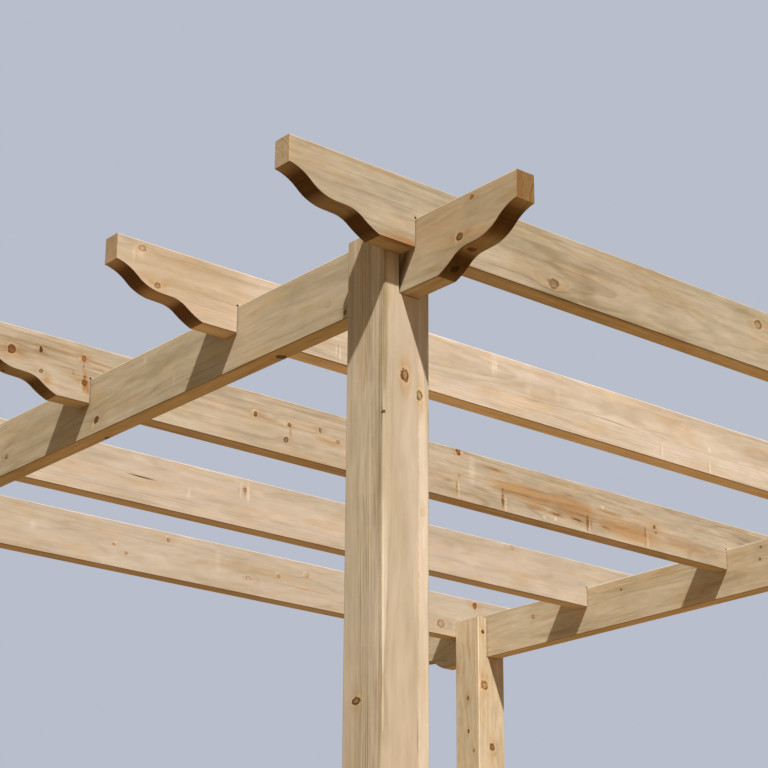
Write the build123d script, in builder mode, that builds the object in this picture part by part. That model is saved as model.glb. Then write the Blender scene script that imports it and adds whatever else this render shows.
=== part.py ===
from build123d import *
import os

# Open garden pergola in planed softwood: four posts, two beams and five rafters.
# The rafters run along X and the beams along Y. The posts stand on the ground at Z = 0,
# and the origin is the middle of their footprint. All sizes are in millimetres.

# Posts, and the outline that their outer faces stand on
post_side = 95.0
post_length = 2400.0
footprint_x = 1950.0
footprint_y = 1915.0
slot_offset = 5.5

# Boards, the one section that beams and rafters share
board_depth = 120.0
board_thickness = 38.0
beam_overhang = 275.0
rafter_overhang = 225.0
rafter_count = 5

# Joints between them
beam_rise = 10.0
rafter_notch = 53.0
joint_clearance = 0.5

# Double wave cut under both ends of every board
nose_depth = 48.0
nose_slope = 8.0
upper_wave_run = 95.0
upper_wave_drop = 40.0
upper_turn_run = 44.0
upper_turn_drop = 20.0
ledge_run = 22.0
ledge_drop = 1.0
lower_wave_run = 67.0
lower_turn_run = 31.0
lower_turn_drop = 11.0

# Eased edges
post_arris = 3.0
post_top_arris = 1.5
board_arris = 2.0

# Lengths and heights that follow from the sizes above
beam_length = footprint_y + 2 * beam_overhang
rafter_length = footprint_x + 2 * rafter_overhang
beam_top = post_length + beam_rise
beam_bottom = beam_top - board_depth
rafter_bottom = beam_top - rafter_notch

# Places of the beams and the rafters
post_x = (footprint_x - post_side) / 2
post_y = (footprint_y - post_side) / 2
left_beam_x = slot_offset - post_x
right_beam_x = slot_offset + post_x
outer_rafter_y = (footprint_y + board_thickness) / 2
rafter_pitch = 2 * outer_rafter_y / (rafter_count - 1)

slot_width = board_thickness + 2 * joint_clearance


def wave(start, slope, run, drop, turn_run, turn_drop):
    """Draw a bulge that turns into a hollow, and return the hollow."""
    turn = start + Vector(turn_run, -turn_drop)
    bulge = TangentArc(start, turn, tangent=slope)
    return TangentArc(turn, start + Vector(run, -drop), tangent=bulge % 1)


def board_outline(length):
    """Side view of a board, its lower edge on the local X axis and its middle at the origin."""
    top_corner = Vector(-length / 2, board_depth)
    nose_foot = top_corner - Vector(0, nose_depth)
    lower_wave_drop = nose_foot.Y - upper_wave_drop - ledge_drop
    with BuildSketch() as outline:
        with BuildLine():
            Polyline((0, board_depth), top_corner, nose_foot)
            first_slope = Vector(1, 0).rotate(Axis.Z, -nose_slope)
            upper = wave(
                nose_foot, first_slope, upper_wave_run, upper_wave_drop, upper_turn_run, upper_turn_drop
            )
            ledge = Line(upper @ 1, upper @ 1 + Vector(ledge_run, -ledge_drop))
            lower = wave(
                ledge @ 1, ledge % 1, lower_wave_run, lower_wave_drop, lower_turn_run, lower_turn_drop
            )
            Line(lower @ 1, (0, 0))
            mirror(about=Plane.YZ)
        make_face()
    return outline.sketch


def shaped_board(side_plane, length):
    """Extrude the outline both ways from the board's middle plane and ease its long edges."""
    with BuildPart() as board:
        with BuildSketch(side_plane):
            add(board_outline(length))
        extrude(amount=board_thickness / 2, both=True)
        sides = board.faces().filter_by(Axis(side_plane.origin, side_plane.z_dir))
        chamfer(sides.edges(), length=board_arris)
    return board.part


def make_post(name, side_x, side_y):
    """Square post with the open slot in its head that the beam drops into."""
    place = (side_x * post_x, side_y * post_y)
    with BuildPart() as post:
        with BuildSketch():
            with Locations(place):
                RectangleRounded(post_side, post_side, post_arris)
        extrude(amount=post_length)
        head = post.faces().sort_by(Axis.Z)[-1]
        chamfer(head.edges(), length=post_top_arris)
        with BuildSketch(Plane.XY.offset(beam_bottom)):
            with Locations((side_x * post_x + slot_offset, side_y * post_y)):
                Rectangle(slot_width, post_side)
        extrude(amount=board_depth, mode=Mode.SUBTRACT)
    post.part.label = name
    export_step(post.part, f"parts/{name}.step")


def make_beam(name, x):
    """Beam that lies in the slots of two posts."""
    middle = Plane(origin=(x, 0, beam_bottom), x_dir=(0, 1, 0), z_dir=(1, 0, 0))
    with BuildPart() as beam:
        add(shaped_board(middle, beam_length))
    beam.part.label = name
    export_step(beam.part, f"parts/{name}.step")


def make_rafter(name, y):
    """Rafter notched from below, so that it sits down over both beams."""
    middle = Plane(origin=(0, y, rafter_bottom), x_dir=(1, 0, 0), z_dir=(0, -1, 0))
    with BuildPart() as rafter:
        add(shaped_board(middle, rafter_length))
        with BuildSketch(middle):
            with Locations((left_beam_x, 0), (right_beam_x, 0)):
                Rectangle(slot_width, 2 * rafter_notch)
        extrude(amount=board_thickness, both=True, mode=Mode.SUBTRACT)
    rafter.part.label = name
    export_step(rafter.part, f"parts/{name}.step")


os.makedirs("parts", exist_ok=True)

make_post("post_front_left", -1, -1)
make_post("post_front_right", 1, -1)
make_post("post_back_left", -1, 1)
make_post("post_back_right", 1, 1)

make_beam("beam_left", left_beam_x)
make_beam("beam_right", right_beam_x)

for number in range(rafter_count):
    make_rafter(f"rafter_{number + 1}", number * rafter_pitch - outer_rafter_y)
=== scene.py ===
import logging
import math
import random
from dataclasses import dataclass, field
from enum import Enum
from types import SimpleNamespace
from typing import Callable, Iterator, Optional, Sequence, Union

import bmesh
import bpy
from mathutils import Euler, Matrix, Vector
from mathutils.geometry import delaunay_2d_cdt


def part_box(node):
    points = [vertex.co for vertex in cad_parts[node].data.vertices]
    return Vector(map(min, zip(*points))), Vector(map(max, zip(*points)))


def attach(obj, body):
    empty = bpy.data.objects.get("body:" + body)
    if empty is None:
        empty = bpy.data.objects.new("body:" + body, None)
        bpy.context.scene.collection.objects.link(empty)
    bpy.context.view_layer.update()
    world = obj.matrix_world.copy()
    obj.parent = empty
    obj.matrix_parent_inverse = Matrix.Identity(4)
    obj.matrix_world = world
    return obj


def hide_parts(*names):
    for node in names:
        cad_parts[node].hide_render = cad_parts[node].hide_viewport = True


# Open garden pergola in planed softwood, in metres: the rafters run along X, the beams along Y.
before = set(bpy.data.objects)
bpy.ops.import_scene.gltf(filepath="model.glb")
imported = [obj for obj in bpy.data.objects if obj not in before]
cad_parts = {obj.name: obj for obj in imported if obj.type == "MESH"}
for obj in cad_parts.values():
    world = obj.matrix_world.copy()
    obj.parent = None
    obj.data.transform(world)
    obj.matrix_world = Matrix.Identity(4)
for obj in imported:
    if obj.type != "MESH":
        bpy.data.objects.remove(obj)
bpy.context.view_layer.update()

log = logging.getLogger("pergola")

Socket = bpy.types.NodeSocket
Colour = tuple[float, float, float]
Value = Union[float, int, Sequence[float], "Wire"]

BODY = "root"
SAWN_ATTRIBUTE = "sawn"
# The eased attribute holds rounded edges' share of painted highlight, negative for painted shade on lower
# edges.
EASED_ATTRIBUTE = "eased"
ALONG_GRAIN = (1.0, 0.0, 0.0)
ACROSS_GRAIN = (0.0, 1.0, 1.0)
MM = 0.001

# Half of a board's and of a post's section, sideways and up.
BOARD_HALF = (0.019, 0.06)
POST_HALF = (0.0475, 0.0475)

# How a knot's warm wood fades, its least distance from the pith, and a share of it that is far outside.
FALL_BASE = 2.718
LEAST_REACH = 0.004
FAR_OUTSIDE = 50.0


# ---------------------------------------------------------------------------------------- nodes
class Wire:
    """A number, vector or colour that a node gives, which can be calculated with."""

    def __init__(self, graph: "Graph", socket: Socket) -> None:
        """Keep the socket and the graph that it belongs to."""
        self.graph, self.socket = graph, socket

    def also(self, output: str) -> "Wire":
        """Return another output of the same node."""
        return Wire(self.graph, self.socket.node.outputs[output])

    def _number(self, operation: str, *others: Value) -> "Wire":
        """Calculate with it as a number."""
        return self.graph.math(operation, self, *others)

    def _vector(self, operation: str, *others: Value) -> "Wire":
        """Calculate with it as a vector."""
        return self.graph.vector(operation, self, *others)

    def _either(self, operation: str, other: Value) -> "Wire":
        """Calculate with it as the number or the vector that it is."""
        return (self._number if is_number(self) else self._vector)(operation, other)

    def __add__(self, other: Value) -> "Wire":
        """Add."""
        return self._either("ADD", other)

    def __sub__(self, other: Value) -> "Wire":
        """Subtract."""
        return self._either("SUBTRACT", other)

    def __rsub__(self, other: float) -> "Wire":
        """Subtract from a plain number."""
        return self.graph.math("SUBTRACT", other, self)

    def __mul__(self, other: Value) -> "Wire":
        """Multiply numbers, scale a vector, or tint a colour.

        Args:
            other: what it is multiplied by.

        Returns:
            The product.
        """
        if self.socket.type == "RGBA":
            return self.graph.mix(1.0, self, other, "MULTIPLY")
        if is_number(self) and is_number(other):
            return self._number("MULTIPLY", other)
        if is_number(self):
            return self.graph.node("ShaderNodeVectorMath", {0: other, "Scale": self}, operation="SCALE")
        if is_number(other):
            return self.graph.node("ShaderNodeVectorMath", {0: self, "Scale": other}, operation="SCALE")
        return self._vector("MULTIPLY", other)

    def __truediv__(self, other: Value) -> "Wire":
        """Divide."""
        return self._number("DIVIDE", other)

    def __lt__(self, other: Value) -> "Wire":
        """Return 1 where it is less, and otherwise 0."""
        return self._number("LESS_THAN", other)

    def __abs__(self) -> "Wire":
        """Return its size without its sign."""
        return self._number("ABSOLUTE")

    def least(self, other: Value) -> "Wire":
        """Return the smaller of two numbers."""
        return self._number("MINIMUM", other)

    def most(self, other: Value) -> "Wire":
        """Return the larger of two numbers."""
        return self._number("MAXIMUM", other)

    def held(self) -> "Wire":
        """Hold the number that was just worked out between 0 and 1."""
        self.socket.node.use_clamp = True
        return self

    def dot(self, other: Value) -> "Wire":
        """Return the dot product with another vector."""
        return self._vector("DOT_PRODUCT", other).also("Value")

    def length(self) -> "Wire":
        """Return the vector's length."""
        return self._vector("LENGTH").also("Value")

    def step(self, low: Value, high: Value, to_low: float = 0.0, to_high: float = 1.0) -> "Wire":
        """Ease smoothly from one number to another while this goes from low to high.

        Args:
            low: where the change starts.
            high: where it ends.
            to_low: result at low.
            to_high: result at high.

        Returns:
            The eased number.
        """
        inputs = dict(enumerate((self, low, high, to_low, to_high)))
        return self.graph.node("ShaderNodeMapRange", inputs, interpolation_type="SMOOTHSTEP")


def is_number(value: Value) -> bool:
    """Return whether a value is a plain number, or a wire that carries one."""
    return value.socket.type == "VALUE" if isinstance(value, Wire) else isinstance(value, (int, float))


class Graph:
    """Adds nodes to one node tree and links them, in few words."""

    def __init__(self, tree: bpy.types.NodeTree) -> None:
        """Keep the node tree that the nodes go into."""
        self.tree = tree

    def node(
        self, kind: str, inputs: Optional[dict] = None, take: Union[str, int] = 0, **settings: object
    ) -> Optional[Wire]:
        """Add one node.

        Args:
            kind: the node's type name.
            inputs: what goes into its inputs, by name or number, a list for more than one link.
            take: which output to return.
            settings: properties to set on it.

        Returns:
            The output, or None from a node that has none.
        """
        made = self.tree.nodes.new(kind)
        for name, value in settings.items():
            setattr(made, name, value)
        for label, value in (inputs or {}).items():
            for item in value if isinstance(value, list) else [value]:
                self._feed(made.inputs[label], item)
        return Wire(self, made.outputs[take]) if made.outputs else None

    def _feed(self, target: Socket, value: Value) -> None:
        """Link a wire to an input, or set the input's own value.

        Args:
            target: the input.
            value: the wire or the plain value.
        """
        if isinstance(value, Wire):
            self.tree.links.new(value.socket, target)
        else:
            target.default_value = (*value, 1.0) if target.type == "RGBA" and not is_number(value) else value

    def math(self, operation: str, *values: Value) -> Wire:
        """Calculate with numbers."""
        return self.node("ShaderNodeMath", dict(enumerate(values)), operation=operation)

    def vector(self, operation: str, *values: Value) -> Wire:
        """Calculate with vectors."""
        return self.node("ShaderNodeVectorMath", dict(enumerate(values)), operation=operation)

    def mix(self, share: Value, first: Value, second: Value, blend: str = "MIX") -> Wire:
        """Mix two colours.

        Args:
            share: share of the second colour.
            first: the first colour.
            second: the second colour.
            blend: how they are mixed.

        Returns:
            The mixed colour.
        """
        inputs = {0: share, 6: first, 7: second}
        return self.node("ShaderNodeMix", inputs, 2, data_type="RGBA", blend_type=blend)

    def noise(self, place: Wire, stretch: Sequence[float], detail: float = 2.0, rough: float = 0.5) -> Wire:
        """Add a noise whose scale differs along the three axes.

        Args:
            place: where it is read.
            stretch: how many features a metre holds along each axis.
            detail: number of finer layers.
            rough: strength of the finer layers.

        Returns:
            The noise as a number, with a colour as the node's other output.
        """
        inputs = {"Vector": self.vector("MULTIPLY", place, stretch), "Scale": 1.0}
        return self.node("ShaderNodeTexNoise", {**inputs, "Detail": detail, "Roughness": rough})

    def ramp(self, value: Wire, stops: Sequence[tuple[float, float]]) -> Wire:
        """Read a curve of grey stops.

        Args:
            value: the value that is read.
            stops: places and heights along the curve.

        Returns:
            The height at the value.
        """
        grey = self.node("ShaderNodeValToRGB", {0: value})
        curve = grey.socket.node.color_ramp
        while len(curve.elements) < len(stops):
            curve.elements.new(0.5)
        for element, (place, height) in zip(curve.elements, stops):
            element.position = place
            element.color = (height, height, height, 1.0)
        return self.node("ShaderNodeRGBToBW", {0: grey})

    def give(self, **results: Value) -> bpy.types.NodeTree:
        """Feed the group's outputs, and return its tree."""
        self.node("NodeGroupOutput", results)
        return self.tree


def node_group(
    name: str, inputs: dict[str, str], outputs: dict[str, str], tree_kind: str = "ShaderNodeTree"
) -> tuple[Graph, SimpleNamespace]:
    """Start a node group.

    Args:
        name: the group's name.
        inputs: names of its inputs, under their kind, such as Float, Vector or Color.
        outputs: names of its outputs, in the same way.
        tree_kind: type of its tree.

    Returns:
        The graph to draw in, and the group's inputs.
    """
    tree = bpy.data.node_groups.new(name, tree_kind)
    for way, sockets in (("INPUT", inputs), ("OUTPUT", outputs)):
        for kind, labels in sockets.items():
            for label in labels.split():
                tree.interface.new_socket(label, in_out=way, socket_type=f"NodeSocket{kind}")
    g = Graph(tree)
    start = g.node("NodeGroupInput").socket.node
    return g, SimpleNamespace(**{socket.name: Wire(g, socket) for socket in start.outputs if socket.name})


def new_material(name: str, draw: Callable[[Graph, Wire], dict[str, Value]]) -> bpy.types.Material:
    """Make a material with one Principled shader.

    Args:
        name: its name.
        draw: gives the shader's inputs, from the graph and the place in Object coordinates.

    Returns:
        The material.
    """
    made = bpy.data.materials.new(name)
    made.use_nodes = True
    made.node_tree.nodes.clear()
    g = Graph(made.node_tree)
    shader = g.node("ShaderNodeBsdfPrincipled", draw(g, g.node("ShaderNodeTexCoord", take="Object")))
    g.node("ShaderNodeOutputMaterial", {"Surface": shader})
    return made


def new_object(name: str, data: bpy.types.ID) -> bpy.types.Object:
    """Put something into the scene.

    Args:
        name: its name.
        data: its mesh, lamp or camera.

    Returns:
        The object.
    """
    made = bpy.data.objects.new(name, data)
    bpy.context.scene.collection.objects.link(made)
    return made


# ---------------------------------------------------------------------------------------- wood
@dataclass(frozen=True)
class WoodTints:
    """Colours that all the timbers share. Those named as tints multiply the wood's own colour."""

    warm_tint: Colour = (1.03, 0.90, 0.72)
    green_tint: Colour = (0.86, 0.86, 0.76)
    bleached_tint: Colour = (1.12, 1.14, 1.17)
    vein_tint: Colour = (0.78, 0.73, 0.63)
    # Tint of stains, also of painted shade on a post's head.
    stain_tint: Colour = (0.84, 0.72, 0.56)
    resin: Colour = (0.36, 0.20, 0.085)
    dark_resin: Colour = (0.185, 0.075, 0.016)
    streak: Colour = (0.45, 0.265, 0.12)
    # Tint of pale scars, also of painted bounce light on undersides.
    scar_tint: Colour = (1.32, 1.36, 1.42)
    # Painted shade on the lower rounded edges.
    grime_tint: Colour = (0.50, 0.42, 0.30)
    # Dark of open checks, also the painted shade in a joint corner.
    open_check: Colour = (0.085, 0.040, 0.012)
    brown_glow_tint: Colour = (0.82, 0.73, 0.54)
    red_glow_tint: Colour = (0.92, 0.67, 0.42)
    halo_tint: Colour = (1.18, 1.20, 1.18)
    brown_heart: Colour = (0.09, 0.045, 0.014)
    red_heart: Colour = (0.27, 0.105, 0.032)
    heart_fleck_tint: Colour = (0.62, 0.55, 0.45)
    brown_bark: Colour = (0.075, 0.042, 0.013)
    red_bark: Colour = (0.15, 0.058, 0.016)


def knot_group() -> bpy.types.NodeTree:
    """Build the cone that one branch leaves in the wood, from the pith outwards.

    Returns:
        A group that hands on the nearest knot and its kind, the warm wood round it, and how far
        the rings bulge.
    """
    g, i = node_group(
        "branch_knot",
        {"Vector": "point start direction own_kind kind", "Float": "spread nearest glow bulge"},
        {"Float": "nearest glow bulge", "Vector": "kind"},
    )
    offset = i.point - i.start
    reach = offset.dot(i.direction)
    aside = offset - i.direction * reach
    size = reach.most(LEAST_REACH) * i.spread
    behind = (reach < 0.0) * FAR_OUTSIDE
    share = (aside * (0.8, 1.0, 1.0)).length() / size + behind
    nearer = share < i.nearest
    wide = (aside * (0.36, 1.0, 1.0)).length() / (size * 1.6) + behind
    fall = g.math("POWER", FALL_BASE, wide * wide * -1.0)
    return g.give(
        nearest=share.least(i.nearest),
        kind=i.own_kind * nearer + i.kind * (1.0 - nearer),
        glow=fall.most(i.glow),
        bulge=fall * size + i.bulge,
    )


def mark_group() -> bpy.types.NodeTree:
    """Build one long blurred spot, for a stain, a scar, a hairline check, or a patch of painted light or
    shade.

    Returns:
        A group that hands on the strongest mark so far.
    """
    sockets = {"Vector": "point centre fall inverse", "Float": "amount softness strength"}
    g, i = node_group("wood_mark", sockets, {"Float": "strength"})
    offset = i.point - i.centre
    offset = offset - i.fall * offset.dot(ALONG_GRAIN)
    fade = ((1.0 - (offset * i.inverse).length()) / i.softness).held()
    return g.give(strength=(fade * i.amount).most(i.strength))


class Softwood:
    """The solid wood's node group, in Object coordinates with the grain along X."""

    def __init__(self, tints: WoodTints) -> None:
        """Start the group.

        Args:
            tints: the colours that all the timbers share.
        """
        self.tints = tints
        self.g, self.i = node_group(
            "solid_softwood",
            {
                "Vector": "point kind",
                "Float": "seed ring_width wander contrast figure young nearest glow bulge "
                "stain pale calm check end sawn eased",
                "Color": "early late shade end_tint sawn_tint edge_tint",
            },
            {"Color": "colour", "Float": "roughness height"},
        )

    def build(self) -> bpy.types.NodeTree:
        """Draw yearly rings round the pith, fibres, knots, stains, cut ends, and painted light and shade.

        Returns:
            A group that gives the colour, the roughness and the height of the surface.
        """
        g, i, t = self.g, self.i, self.tints
        place = i.point + i.seed * (7.31, 1.73, 2.91)
        late, grown = self._rings(place)
        fibre = g.noise(place, (12.0, 400.0, 400.0), 3.0, 0.6)
        strand = g.noise(grown, (3.5, 150.0, 1.0), 3.0, 0.55)
        fleck = g.noise(place, (30.0, 110.0, 110.0), 3.0, 0.55)
        mottle = g.noise(place, (3.0, 16.0, 16.0), 3.0, 0.6)
        restless = i.calm * -0.75 + 1.0

        # Slow changes of colour, then the dark rings, the fine figure and thin dark veins.
        colour = g.mix(mottle.step(0.36, 0.68), i.early, i.shade)
        cloud = g.noise(place, (6.5, 30.0, 30.0), 3.0, 0.6).also("Color")
        drift = g.node("ShaderNodeSeparateColor", {0: cloud})
        for channel, low, high, amount, tint in (
            ("Red", 0.50, 0.68, 0.55, t.warm_tint),
            ("Green", 0.52, 0.72, 0.50, t.green_tint),
            ("Blue", 0.52, 0.70, 0.60, t.bleached_tint),
        ):
            share = drift.also(channel).step(low, high, 0.0, amount) * restless
            colour = g.mix(share, colour, colour * tint)
        contrast = i.contrast * (i.end * 1.1 + 1.0) * ((1.0 - i.pale) * (1.0 - i.calm))
        colour = g.mix((late * contrast).held(), colour, i.late)
        tone = (fibre - 0.5) * 0.40 + (strand - 0.5) * 0.48 + (fleck - 0.5) * 0.42
        colour = colour * (tone * (restless * i.figure) + 1.0)
        vein = abs(g.noise(grown, (2.4, 62.0, 1.0)) - 0.5).step(0.0, 0.045, 1.0, 0.0)
        vein = vein * mottle.step(0.34, 0.62, 0.15, 0.85) * (restless * i.figure)
        colour = g.mix(vein, colour, colour * t.vein_tint)

        # Resin stains and painted shade, with ragged dark streaks where they are strong, then pale scars with
        # painted bounce light, and knots.
        # The stain mask also carries painted shade on one post's head.
        colour = g.mix((i.stain * 1.4).held(), colour, colour * t.stain_tint)
        ragged = (i.stain * 0.6 + (strand + fleck) * 0.5).step(0.76, 1.04)
        deep = g.mix(i.stain.step(0.6, 0.95), t.resin, t.dark_resin)
        colour = g.mix(ragged, colour, g.mix(strand.step(0.38, 0.62), deep, t.streak))
        # The pale mask also carries painted bounce light on the front rafters' undersides.
        colour = g.mix(i.pale, colour, colour * t.scar_tint)
        colour, inside = self._knot_face(colour, fleck)

        # Painted highlight on the upper and side edges, painted shade on the lower ones, then end grain, saw
        # marks, and open checks with painted shade in one joint corner.
        colour = g.mix(i.eased.most(0.0), colour, colour * i.edge_tint)
        colour = g.mix((i.eased * -1.0).most(0.0), colour, colour * t.grime_tint)
        colour = g.mix(i.end, colour, colour * i.end_tint)
        saw = g.noise(place, (300.0, 5.0, 5.0))
        rough_cut = (i.sawn * (i.end * 0.95 + 0.5)).held()
        colour = g.mix(rough_cut, colour, colour * (i.sawn_tint * (saw * 0.9 + 0.55)))
        # The check mask also carries painted shade, which this dark stands for too.
        colour = g.mix(i.check, colour, t.open_check)

        rough = late * -0.08 + 0.66 + (fibre - 0.5) * 0.16 + inside * -0.12
        height = late * 0.00012 + fibre * 0.00014 + inside * 0.00012 + i.check * -0.0006
        return g.give(
            colour=colour,
            roughness=(i.sawn * 0.16 + rough).held(),
            height=height + saw * i.sawn * 0.0003,
        )

    def _rings(self, place: Wire) -> tuple[Wire, Wire]:
        """Draw the dark summer wood of each year's ring.

        Args:
            place: the point, shifted by the timber's seed.

        Returns:
            How dark the ring is, from 0 to 1, and the point as run along the trunk and radius.
        """
        g, i = self.g, self.i
        middle = (0.5, 0.5, 0.5)
        slow = g.noise(place, (0.8, 3.0, 3.0), 1.0).also("Color") - middle
        fine = g.noise(place, (7.0, 26.0, 26.0)).also("Color") - middle
        bent = i.point + slow * i.wander * ACROSS_GRAIN + fine * (0.0, 0.0040, 0.0040)
        taper = bent.dot(ALONG_GRAIN) * 0.006
        radius = taper + (bent * ACROSS_GRAIN).length() - i.bulge * 0.95

        by_radius = {"W": radius * 45.0 + i.seed, "Scale": 1.0, "Detail": 1.0}
        growth = (g.node("ShaderNodeTexNoise", by_radius, noise_dimensions="1D") - 0.5) * 3.0
        phase = radius / i.ring_width + growth
        summer = [(0.0, 0.05), (0.35, 0.0), (0.76, 0.7), (0.9, 1.0), (1.0, 0.05)]
        by_year = {"W": g.math("FLOOR", phase) + i.seed}
        year = g.node("ShaderNodeTexWhiteNoise", by_year, noise_dimensions="1D")
        late = g.ramp(g.math("FRACT", phase), summer) * (year * 0.7 + 0.3)
        late = late * g.noise(place, (2.2, 14.0, 14.0)).step(0.3, 0.66, 0.3, 1.15)
        late = late * radius.step(i.young * 0.7, i.young * 1.15 + 0.001, 0.22, 1.0)
        grown = {"X": place.dot(ALONG_GRAIN), "Y": radius, "Z": i.seed}
        return late, g.node("ShaderNodeCombineXYZ", grown)

    def _knot_face(self, colour: Wire, fleck: Wire) -> tuple[Wire, Wire]:
        """Draw the cut knots: a dark outline, a warm heart, and pale and orange wood around.

        Args:
            colour: the wood's colour so far.
            fleck: the wood's short flecks, which break the outline up.

        Returns:
            The colour with the knots, and how far a point is inside one.
        """
        g, i, t = self.g, self.i, self.tints
        redness = g.node("ShaderNodeSeparateXYZ", {0: i.kind})
        weight, fill = redness.also("Y"), redness.also("Z")
        uneven = g.noise(i.point, (90.0, 130.0, 130.0)) - 0.5
        near = i.nearest * (uneven * 0.8 + 1.0)
        warm = colour * g.mix(redness, t.brown_glow_tint, t.red_glow_tint)
        colour = g.mix(i.glow * weight * 0.85, colour, warm)
        halo = abs(near - 1.5).step(0.0, 0.42, 0.8, 0.0) * weight
        colour = g.mix(halo, colour, colour * t.halo_tint)

        deep = g.mix(redness, t.brown_heart, t.red_heart)
        heart = g.mix(fill, g.mix(0.3, warm, colour), deep)
        heart = heart * (g.math("SINE", near * 15.0) * 0.08 + 0.94)
        heart = g.mix(fleck.step(0.46, 0.64, 0.0, 0.6), heart, deep * t.heart_fleck_tint)
        inside = near.step(0.80, 1.02, 1.0, 0.0) * weight
        colour = g.mix(inside, colour, heart)
        rim = abs(near - 0.88).step(0.13, 0.36, 1.0, 0.0) * fleck.step(0.34, 0.54, 0.40, 1.0)
        return g.mix(rim * weight, colour, g.mix(redness, t.brown_bark, t.red_bark)), inside


@dataclass(frozen=True)
class WoodGroups:
    """The node groups that every timber shares: a knot, a mark, and the softwood itself."""

    knot: bpy.types.NodeTree
    mark: bpy.types.NodeTree
    softwood: bpy.types.NodeTree

    @classmethod
    def build(cls) -> "WoodGroups":
        """Build the three groups."""
        return cls(knot_group(), mark_group(), Softwood(WoodTints()).build())


class Grain(Enum):
    """Which way a timber's grain runs, as the turn in degrees that brings it onto X."""

    ALONG_X = (0.0, 0.0, 0.0)
    ALONG_Y = (0.0, 0.0, -90.0)
    ALONG_Z = (0.0, 90.0, 0.0)

    def turn(self) -> Euler:
        """Return the turn as Euler angles."""
        return Euler([math.radians(angle) for angle in self.value])

    def axis(self) -> Vector:
        """Return the direction of the grain in the row frame."""
        return self.turn().to_matrix().inverted() @ Vector((1.0, 0.0, 0.0))


@dataclass(frozen=True)
class Knot:
    """A branch knot, by the point where it comes out: along the grain, sideways and up."""

    along: float
    side: float
    up: float
    radius: float
    redness: float
    weight: float
    fill: float
    lean: float = 0.0

    @classmethod
    def on(cls, side: float, *rows: Sequence[float]) -> tuple["Knot", ...]:
        """Read the knots of one side.

        Args:
            side: where that side is.
            rows: the other fields of each knot, in order. All lengths are in millimetres.

        Returns:
            The knots.
        """
        return tuple(
            cls(along * MM, side * MM, up * MM, radius * MM, redness, weight, fill, *(n * MM for n in lean))
            for along, up, radius, redness, weight, fill, *lean in rows
        )


@dataclass(frozen=True)
class Mark:
    """A stain, scar, hairline check, or patch of painted light or shade, by its middle and its half sizes."""

    along: float
    side: float
    up: float
    half_length: float
    half_height: float
    amount: float
    softness: float
    fall: float = 0.0
    half_depth: float = 0.02

    @classmethod
    def on(cls, side: float, *rows: Sequence[float]) -> tuple["Mark", ...]:
        """Read the marks of one side.

        Args:
            side: where that side is.
            rows: the other fields of each mark, in order. All lengths are in millimetres.

        Returns:
            The marks.
        """
        return tuple(
            cls(
                along * MM, side * MM, up * MM, length * MM, height * MM, amount, softness,
                *others[:1], *(depth * MM for depth in others[1:]),
            )
            for along, up, length, height, amount, softness, *others in rows
        )


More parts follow.
